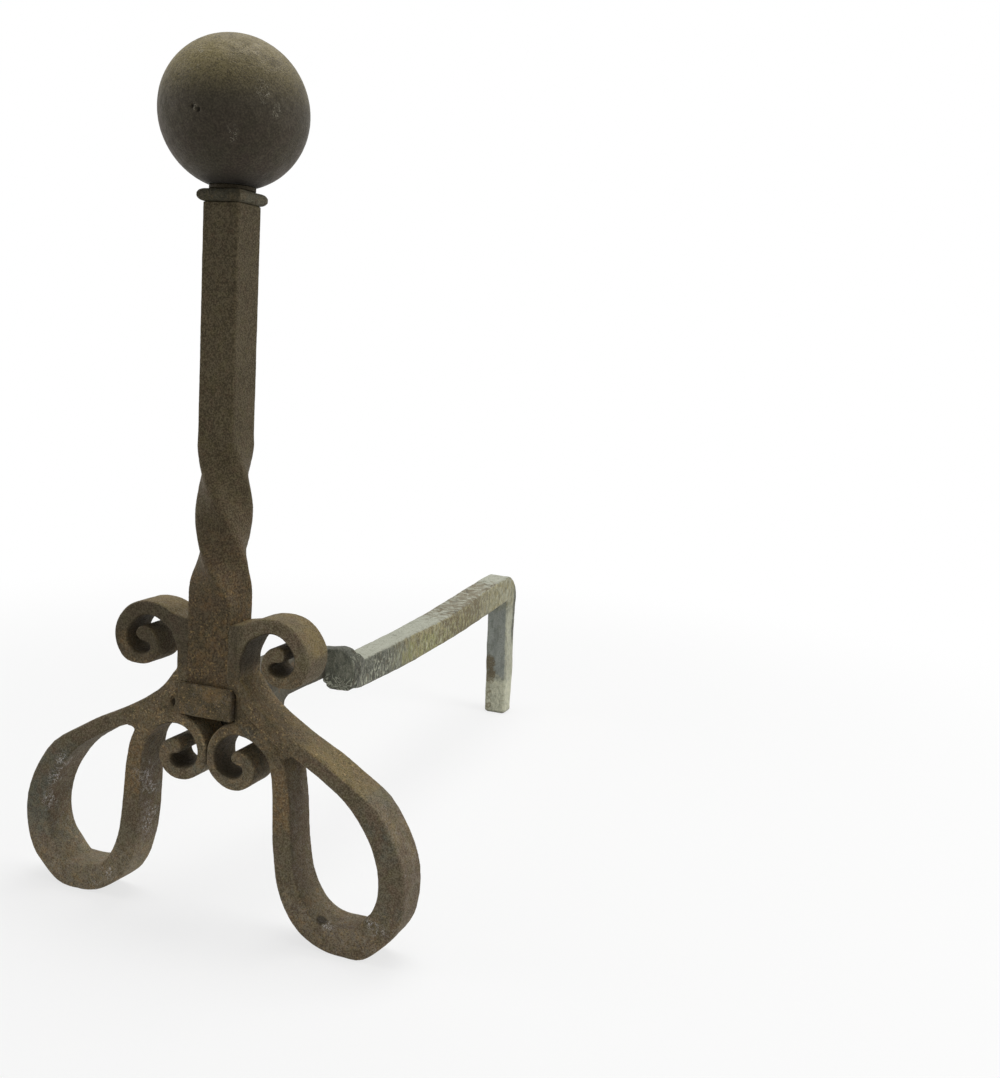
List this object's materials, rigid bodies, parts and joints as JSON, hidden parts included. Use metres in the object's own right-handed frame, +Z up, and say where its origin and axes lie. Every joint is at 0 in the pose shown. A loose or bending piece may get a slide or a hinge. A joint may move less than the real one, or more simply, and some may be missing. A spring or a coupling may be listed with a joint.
{
  "type": "andiron",
  "caption": "Hand-forged iron andiron: ball finial on a twisted square post, scrolled teardrop legs, collar, and a log bar running back to a bent rear leg.",
  "frame": {"origin": "on the floor, at the middle of the footprint box: X = 0 is the plane of the post, Y = 0 is midway between the ball's front and the rear leg's back", "axes": "+Z up, +Y from the ornamental front back along the log bar into the hearth, +X to the viewer's right when facing the front"},
  "size_m": [0.359, 0.7257, 0.6925],
  "materials": {
    "ball_iron": "dark brown-grey patina with scuffs and casting pits",
    "forged_iron": "fine rusty olive-brown scale",
    "rusted_iron": "brown scale with orange rust spots and worn edges",
    "scaled_iron": "grey-brown fire scale",
    "ashed_iron": "pale ash and rust patina over heated iron",
    "stud_steel": "plain steel"
  },
  "bodies": {
    "root": {"ball_finial": "ball_iron", "finial_neck": "forged_iron", "finial_stud": "stud_steel", "post_cap": "forged_iron", "post": "forged_iron", "base_collar": "rusted_iron", "left_leg": "rusted_iron", "right_leg": "rusted_iron", "front_arm": "scaled_iron", "log_bar": "ashed_iron"}
  },
  "joints": []
}
